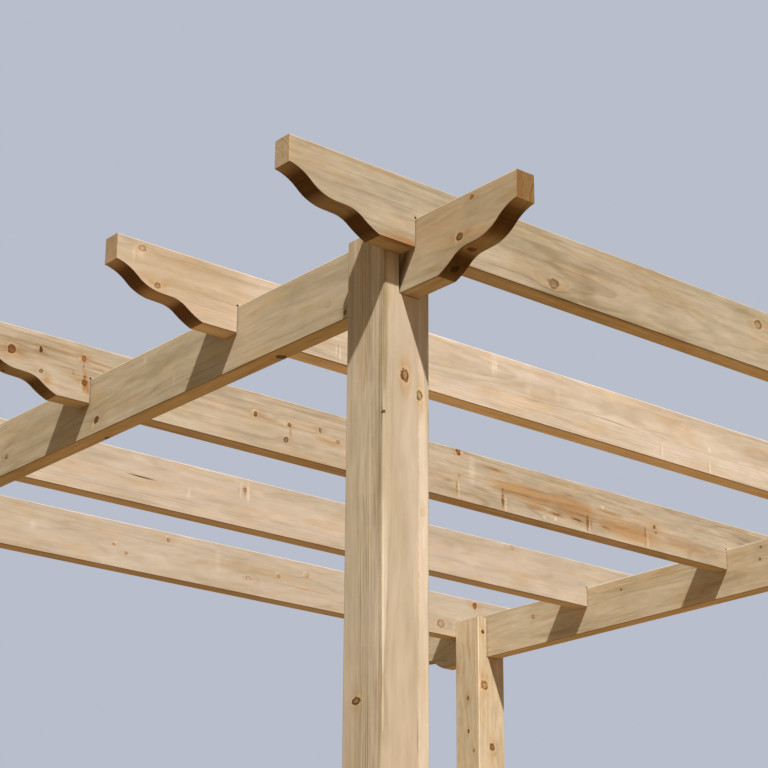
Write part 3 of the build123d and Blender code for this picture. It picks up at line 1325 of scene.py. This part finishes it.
    @staticmethod
    def beams() -> dict[str, TimberFinish]:
        """List the beams' finishes.

        Returns:
            The finishes by node.
        """
        left = 19
        return {
            "beam_left": TimberFinish(
                Grain.ALONG_Y, (-0.060, 0.016), 6.0, contrast=0.42, figure=0.75, early=(0.50, 0.41, 0.285),
                shade=(0.42, 0.345, 0.227), late=(0.30, 0.225, 0.13), end_tint=(0.52, 0.36, 0.175),
                sawn_tint=(0.31, 0.235, 0.110),
                knots=Knot.on(
                    left, (-1101.1, -8.9, 5.6, 0.4, 1, 0.7), (-1130.3, 49, 3.5, 0.8, 0.7, 0.5),
                    (-814.1, -47.9, 3.3, 0.2, 1, 0.7), (-768, -19.7, 6, 0.1, 0.15, 0),
                    (-46.8, -32.1, 6, 0.3, 1, 0.9),
                ) + Knot.on(0, (-1110, -29.5, 4.2, 0.5, 1, 0.8)) + Knot.on(
                    -1, (-1070, -48, 4.2, 0.2, 1, 0.9),
                ) + Knot.on(-7, (-604.1, -60, 6.5, 0.1, 1, 0.95)) + Knot.on(
                    -16, (-36, -60, 5.5, 0.1, 1, 0.9),
                ) + scattered(16, 4, (0.2, 1.15), BOARD_HALF),
                stains=Mark.on(
                    left, (-1160, 20, 210, 110, 0.4, 0.4), (-1190, 34, 90, 6, 0.4, 0.9, -0.04),
                    (-1170, 20, 100, 5, 0.4, 0.9, 0.05), (-700, 10, 100, 4, 0.25, 0.9, 0.08),
                    (-450, -36, 120, 4, 0.22, 0.9, 0.06), (200, 0, 240, 80, 0.17, 0.8),
                ),
                pales=Mark.on(
                    left, (-34.8, -42.3, 4, 10, 0.8, 0.7), (-1092.5, -10, 3, 16, 0.8, 0.6),
                    (-209.3, 43.4, 6, 10, 0.5, 0.8), (-310.7, -23.8, 4, 16, 0.55, 0.7),
                ),
                # Painted shade: a dark patch on the side beside the front post's cheek, under the front
                # rafter, sloping with the shadow's edge.
                checks=Mark.on(left, (-964, -10, 28, 36, 0.85, 0.8, -1.5, 3)),
            ),
            "beam_right": TimberFinish(
                Grain.ALONG_Y, (-0.052, -0.014), 7.0, contrast=0.40, figure=0.75,
                early=(0.575, 0.465, 0.325), shade=(0.495, 0.40, 0.265),
                knots=Knot.on(
                    left, (678, 19.4, 5, 0.2, 0.7, 0.3), (345, 30, 3.4, 0.1, 0.6, 0.8),
                    (-128.8, 42.3, 3.4, 0.1, 0.7, 0.7), (-124.3, 12.5, 3.4, 0.1, 0.7, 0.7),
                ) + scattered(17, 4, (-1.15, -0.3), BOARD_HALF),
                stains=Mark.on(
                    left, (295, 18, 70, 2.2, 0.6, 0.7, 0.07, 4), (170, 13, 80, 2.2, 0.6, 0.7, 0.03, 4),
                    (270, 42, 180, 2.5, 0.35, 0.8, 0.08, 4), (570, -37, 110, 2.5, 0.45, 0.8, -0.1, 4),
                    (-60, 26, 60, 2.5, 0.4, 0.8, -0.15, 4),
                ),
            ),
        }

    @staticmethod
    def posts() -> dict[str, TimberFinish]:
        """List the posts' finishes.

        Returns:
            The finishes by node.
        """
        face = 47.5
        return {
            "post_front_left": TimberFinish(
                Grain.ALONG_Z, (0.090, 0.002), 8.0, ring_width=0.0088, wander=0.012, contrast=2.5,
                young=0.092, early=(0.582, 0.472, 0.348), shade=(0.49, 0.40, 0.275),
                late=(0.31, 0.245, 0.135), edge_tint=(1.0, 1.0, 1.0),
                knots=Knot.on(
                    -face, (2151.3, 3.8, 7.8, 0.85, 1, 0.45), (2123.8, -26.5, 5.8, 0.1, 1, 0.15),
                    (2123.8, -26.5, 1.4, 0, 1, 1), (2080, 46.5, 2.3, 0, 1, 0.9),
                    (1930, -33, 4.5, 0.3, 0.15, 0.1),
                ) + Knot.on(
                    13.7, (1630.3, face, 4.2, 0.3, 1, 0),
                ) + scattered(18, 4, (0.2, 1.4), POST_HALF),
                # The second mark is painted shade: it darkens the top of the left face under the front
                # rafter, beside the beam.
                stains=Mark.on(
                    0, (1400, 0, 440, 100, 0.23, 0.5, 0, 100), (2360, face, 220, 30, 0.32, 0.8, 0, 60),
                ),
                pales=Mark.on(0, (1980, face, 220, 10, 0.4, 0.9, 0, 60)) + Mark.on(
                    -face, (1500, -38.5, 2500, 15, 0.62, 0.15), (1780, 45.5, 450, 7.5, 0.22, 0.35),
                ),
                calms=Mark.on(-53, (1300, 0, 3000, 70, 0.85, 0.3, 0, 10)) + Mark.on(
                    46, (1300, face, 3000, 20, 0.88, 0.8, 0, 56),
                ),
                checks=Mark.on(
                    -face, (1575, -22.8, 40, 0.8, 0.6, 0.6, 0, 3), (2161, 7.5, 3, 2.6, 0.8, 0.7, 0, 4),
                    (2155, 10.5, 1.6, 3, 0.8, 0.7, 0, 4), (2150, 11, 1.5, 2.6, 0.8, 0.7, 0, 4),
                    (2144, 9.5, 1.8, 3.4, 0.8, 0.7, 0, 4),
                ),
            ),
            "post_front_right": TimberFinish(
                Grain.ALONG_Z, (0.085, -0.03), 9.0, ring_width=0.0055, contrast=0.6,
                knots=scattered(19, 7, (0.2, 2.2), POST_HALF),
            ),
            "post_back_left": TimberFinish(
                Grain.ALONG_Z, (-0.07, 0.06), 10.0, ring_width=0.0052, contrast=0.6,
                knots=scattered(20, 7, (0.2, 2.2), POST_HALF),
            ),
            "post_back_right": TimberFinish(
                Grain.ALONG_Z, (0.032, -0.034), 11.0, ring_width=0.0060, contrast=0.6,
                early=(0.585, 0.465, 0.31),
                knots=Knot.on(-3, (2178, face, 4.6, 0.4, 0.9, 0.6)) + Knot.on(
                    -4.3, (2085.7, face, 4, 0.2, 0.9, 0.9),
                ) + Knot.on(-25.7, (2030, face, 3.6, 0.3, 0.6, 0.6)) + Knot.on(
                    -face, (2359.8, 31, 4.4, 0.2, 1, 0.8), (2209.1, 25.7, 8.8, 0.9, 0.8, 0.2),
                    (2042.2, -1.1, 7.5, 0.5, 0.9, 0.8),
                ) + scattered(21, 5, (0.2, 1.9), POST_HALF),
            ),
        }


# ---------------------------------------------------------------------------------------- screws
@dataclass
class ScrewSet:
    """Countersunk timber screws, of which only the heads show."""

    name: str
    head_radius: float = 0.0058
    head_height: float = 0.0012
    proud: float = 0.0005
    recess_radius: float = 0.0027
    recess_depth: float = 0.0011
    seed: int = 5
    rim_points: int = 18
    recess_points: int = 6
    recess_waist: float = 0.68
    merge_distance: float = 0.00002
    zinc: tuple[Colour, Colour] = ((0.50, 0.49, 0.46), (0.66, 0.63, 0.56))
    sheen: tuple[float, ...] = (0.3, 0.7, 0.38, 0.58)

    def build(self, places: Sequence[tuple[Vector, Vector]]) -> None:
        """Make one mesh of all the heads.

        Args:
            places: for each screw, the point on the wood and the way its head faces.
        """
        mesh = bpy.data.meshes.new(f"{self.name}_places")
        mesh.from_pydata([tuple(at + out * self.proud) for at, out in places], [], [])
        facing = mesh.attributes.new("facing", "FLOAT_VECTOR", "POINT")
        for item, (_, out) in zip(facing.data, places):
            item.vector = out
        carrier = new_object(f"{self.name}_carrier", mesh)
        modifier = carrier.modifiers.new("heads", "NODES")
        modifier.node_group = self._tree()
        values = {**vars(self), "finish": new_material("zinc_plated_steel", self._zinc)}
        for item in modifier.node_group.interface.items_tree:
            if item.in_out == "INPUT" and item.name in values:
                modifier[item.identifier] = values[item.name]
        plain = bpy.data.meshes.new_from_object(carrier.evaluated_get(bpy.context.evaluated_depsgraph_get()))
        carrier.modifiers.remove(modifier)
        bpy.data.objects.remove(carrier)
        self._outward(plain)
        piece = new_object(self.name, plain)
        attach(piece, BODY)
        log.info("%s: %d screws, %d faces", piece.name, len(places), len(plain.polygons))

    def _outward(self, mesh: bpy.types.Mesh) -> None:
        """Merge the heads' doubles and turn their faces outward.

        Args:
            mesh: the heads.
        """
        bm = bmesh.new()
        bm.from_mesh(mesh)
        bmesh.ops.remove_doubles(bm, verts=bm.verts, dist=self.merge_distance)
        bmesh.ops.recalc_face_normals(bm, faces=bm.faces)
        bm.to_mesh(mesh)
        bm.free()

    def _zinc(self, g: Graph, here: Wire) -> dict[str, Value]:
        """Draw the dull zinc of the heads."""
        cloud = g.noise(here, (900.0, 900.0, 900.0), 3.0, 0.6)
        return {"Metallic": 1.0, "Base Color": g.mix(cloud, *self.zinc), "Roughness": cloud.step(*self.sheen)}

    def _tree(self) -> bpy.types.NodeTree:
        """Build the tree that sets a head with a star recess on each place.

        Returns:
            The geometry node tree.
        """
        sizes = "head_radius head_height recess_radius recess_depth"
        g, i = node_group(
            f"{self.name}_heads",
            {"Geometry": "places", "Float": sizes, "Material": "finish"},
            {"Geometry": "heads"},
            "GeometryNodeTree",
        )
        rim = {"Resolution": self.rim_points, "Radius": i.head_radius}
        circle = g.node("GeometryNodeCurvePrimitiveCircle", rim, mode="RADIUS")
        recess = {"Outer Radius": i.recess_radius, "Inner Radius": i.recess_radius * self.recess_waist}
        star = g.node("GeometryNodeCurveStar", {"Points": self.recess_points, **recess})
        head = [self._fill(g, [circle, star])]
        for curve, depth in ((circle, i.head_height), (star, i.recess_depth)):
            way = g.node("ShaderNodeCombineXYZ", {"Z": depth * -1.0})
            edges = g.node("GeometryNodeCurveToMesh", {"Curve": curve})
            wall = {"Mesh": edges, "Offset": way, "Offset Scale": 1.0}
            head.append(g.node("GeometryNodeExtrudeMesh", wall, mode="EDGES"))
            end = {"Geometry": self._fill(g, [curve]), "Translation": way}
            head.append(g.node("GeometryNodeTransform", end))
        joined = g.node("GeometryNodeJoinGeometry", {0: head})

        facing = g.node(
            "GeometryNodeInputNamedAttribute", {"Name": "facing"}, "Attribute", data_type="FLOAT_VECTOR"
        )
        align = g.node("FunctionNodeAlignRotationToVector", {"Vector": facing}, axis="Z")
        least, most = 2, 3
        full_turn = {least: 0.0, most: math.tau, "Seed": self.seed}
        angle = g.node("FunctionNodeRandomValue", full_turn, 1, data_type="FLOAT")
        about = g.node("FunctionNodeAxisAngleToRotation", {"Axis": (0.0, 0.0, 1.0), "Angle": angle})
        both = {"Rotation": align, "Rotate By": about}
        spin = g.node("FunctionNodeRotateRotation", both, rotation_space="LOCAL")
        heads = {"Points": i.places, "Instance": joined, "Rotation": spin}
        placed = g.node("GeometryNodeInstanceOnPoints", heads)
        real = g.node("GeometryNodeRealizeInstances", {"Geometry": placed})
        return g.give(heads=g.node("GeometryNodeSetMaterial", {"Geometry": real, "Material": i.finish}))

    @staticmethod
    def _fill(g: Graph, curves: list[Wire]) -> Wire:
        """Fill closed curves with faces, where an inner one leaves a hole."""
        return g.node("GeometryNodeFillCurve", {"Curve": g.node("GeometryNodeJoinGeometry", {0: curves})})


# ---------------------------------------------------------------------------------------- frame
@dataclass
class PergolaFrame:
    """The whole timber frame: four posts, two beams, five rafters and their screws."""

    joint_gap: float = 0.0015
    screw_inset: float = 0.026
    groups: WoodGroups = field(init=False)
    beam_x: tuple[float, ...] = field(init=False)

    def __post_init__(self) -> None:
        """Read the beams' places and build the shared wood groups."""
        self.groups = WoodGroups.build()
        self.beam_x = tuple(sum(corner.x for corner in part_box(node)) / 2 for node in Finishes.beams())

    def build(self) -> None:
        """Make every timber and its screws."""
        for node, finish in Finishes.posts().items():
            Post(node, finish, self.groups).build()
        for node, finish in Finishes.beams().items():
            Board(node, finish, self.groups).build()
        low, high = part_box("beam_left")
        for node, finish in Finishes.rafters().items():
            Board(node, finish, self.groups, self.beam_x, high.x - low.x + 2 * self.joint_gap).build()
        ScrewSet("rafter_screws").build(self._rafter_screws())
        ScrewSet("post_screws").build(self._post_screws())

    def _rafter_screws(self) -> list[tuple[Vector, Vector]]:
        """Place one screw in each rafter's top over each beam.

        Returns:
            The point and the direction of each head.
        """
        places = []
        for node in Finishes.rafters():
            low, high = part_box(node)
            places += [(Vector((x, (low.y + high.y) / 2, high.z)), Vector((0, 0, 1))) for x in self.beam_x]
        return places

    def _post_screws(self) -> list[tuple[Vector, Vector]]:
        """Place two screws, one above the other, in each post's thin cheek.

        Returns:
            The point and the direction of each head.
        """
        places = []
        beam_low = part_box("beam_left")[0].z
        for node in Finishes.posts():
            low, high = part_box(node)
            middle = (low.y + high.y) / 2
            for sign, height in ((-1, beam_low + self.screw_inset), (1, high.z - self.screw_inset)):
                at = Vector((high.x, middle + sign * self.screw_inset / 2, height))
                places.append((at, Vector((1, 0, 0))))
        return places


# ---------------------------------------------------------------------------------------- studio
@dataclass(frozen=True)
class Studio:
    """Pale floor, soft light and the camera."""

    camera_place: tuple[float, float, float] = (-2.9439, -3.3320, 0.9761)
    yaw: float = 50.3297
    pitch: float = 20.4348
    roll: float = 0.3601
    focal_pixels: float = 2088.43
    image_width: int = 768
    sensor: float = 36.0
    sun_travel: tuple[float, float, float] = (0.40, 0.66, -1.0)
    sun_strength: float = 5.45
    sun_colour: Colour = (1.0, 0.98, 0.95)
    sun_size: float = 1.8
    backdrop: Colour = (0.479, 0.515, 0.597)
    overhead: Colour = (0.205, 0.21, 0.205)
    horizon: Colour = (0.108, 0.100, 0.078)
    ground: Colour = (0.400, 0.305, 0.185)
    below: Colour = (0.72, 0.415, 0.160)
    open_front: Colour = (0.040, 0.058, 0.135)
    open_left: Colour = (0.0, 0.080, 0.106)
    open_back: Colour = (0.34, 0.35, 0.36)
    floor_radius: float = 40.0
    floor_segments: int = 96
    floor_tints: tuple[Colour, Colour] = ((0.42, 0.415, 0.40), (0.46, 0.455, 0.44))

    def build(self) -> None:
        """Set up the floor, the lights and the camera."""
        self._floor()
        self._sun()
        self._surround()
        self._camera()
        bpy.context.scene.view_settings.view_transform = "Standard"

    def _floor(self) -> None:
        """Lay the pale floor."""
        bm = bmesh.new()
        bmesh.ops.create_circle(bm, cap_ends=True, segments=self.floor_segments, radius=self.floor_radius)
        mesh = bpy.data.meshes.new("floor")
        bm.to_mesh(mesh)
        bm.free()
        mesh.materials.append(new_material("pale_floor", self._screed))
        floor = new_object("floor", mesh)
        floor.visible_diffuse = False
        floor.visible_glossy = False

    def _screed(self, g: Graph, here: Wire) -> dict[str, Value]:
        """Draw the floor's faint clouds."""
        cloud = g.noise(here, (1.4, 1.4, 1.4), 4.0)
        return {"Specular IOR Level": 0.15, "Roughness": 0.85, "Base Color": g.mix(cloud, *self.floor_tints)}

    def _sun(self) -> None:
        """Hang the key light."""
        light = bpy.data.lights.new("key", "SUN")
        light.energy = self.sun_strength
        light.color = self.sun_colour
        light.angle = math.radians(self.sun_size)
        new_object("key", light).rotation_euler = Vector(self.sun_travel).to_track_quat("-Z", "Y").to_euler()

    def _surround(self) -> None:
        """Light the frame from all round, and show the camera an even backdrop."""
        world = bpy.data.worlds.new("surround")
        world.use_nodes = True
        world.node_tree.nodes.clear()
        g = Graph(world.node_tree)
        here = g.node("ShaderNodeTexCoord", take="Generated")
        rise = here.dot((0.0, 0.0, 1.0))
        light: Value = self.below
        for low, high, colour in (
            (-0.70, -0.25, self.ground), (-0.20, 0.05, self.horizon), (0.05, 0.7, self.overhead),
        ):
            light = g.mix(rise.step(low, high), light, colour)
        for direction, colour, low, high in (
            ((0.0, -1.0, 0.0), self.open_front, -0.3, 0.1),
            ((-1.0, 0.0, 0.0), self.open_left, 0.0, 0.2),
            ((0.707, 0.707, 0.0), self.open_back, -0.1, 0.2),
        ):
            light = g.mix(here.dot(direction).step(0.0, 1.0) * rise.step(low, high), light, colour, "ADD")
        lit = g.node("ShaderNodeBackground", {"Color": light})
        seen = g.node("ShaderNodeBackground", {"Color": self.backdrop})
        choice = g.node("ShaderNodeLightPath", take="Is Camera Ray")
        mixed = g.node("ShaderNodeMixShader", {0: choice, 1: lit, 2: seen})
        g.node("ShaderNodeOutputWorld", {"Surface": mixed})
        bpy.context.scene.world = world

    def _camera(self) -> None:
        """Place the camera at the photograph's angle."""
        yaw, pitch, roll = (math.radians(angle) for angle in (self.yaw, self.pitch, self.roll))
        ahead = Vector((math.cos(yaw) * math.cos(pitch), math.sin(yaw) * math.cos(pitch), math.sin(pitch)))
        level = Vector((math.sin(yaw), -math.cos(yaw), 0.0))
        upright = level.cross(ahead)
        right = level * math.cos(roll) + upright * math.sin(roll)
        up = upright * math.cos(roll) - level * math.sin(roll)
        lens = bpy.data.cameras.new("camera")
        lens.sensor_width = self.sensor
        lens.lens = self.focal_pixels / self.image_width * self.sensor
        camera = new_object("camera", lens)
        turn = Matrix((right, up, -ahead)).transposed().to_4x4()
        camera.matrix_world = Matrix.Translation(self.camera_place) @ turn
        bpy.context.scene.camera = camera


def main() -> None:
    """Build the pergola and its studio."""
    logging.basicConfig(level=logging.INFO, format="%(name)s: %(message)s")
    PergolaFrame().build()
    Studio().build()


if __name__ == "__main__":
    main()
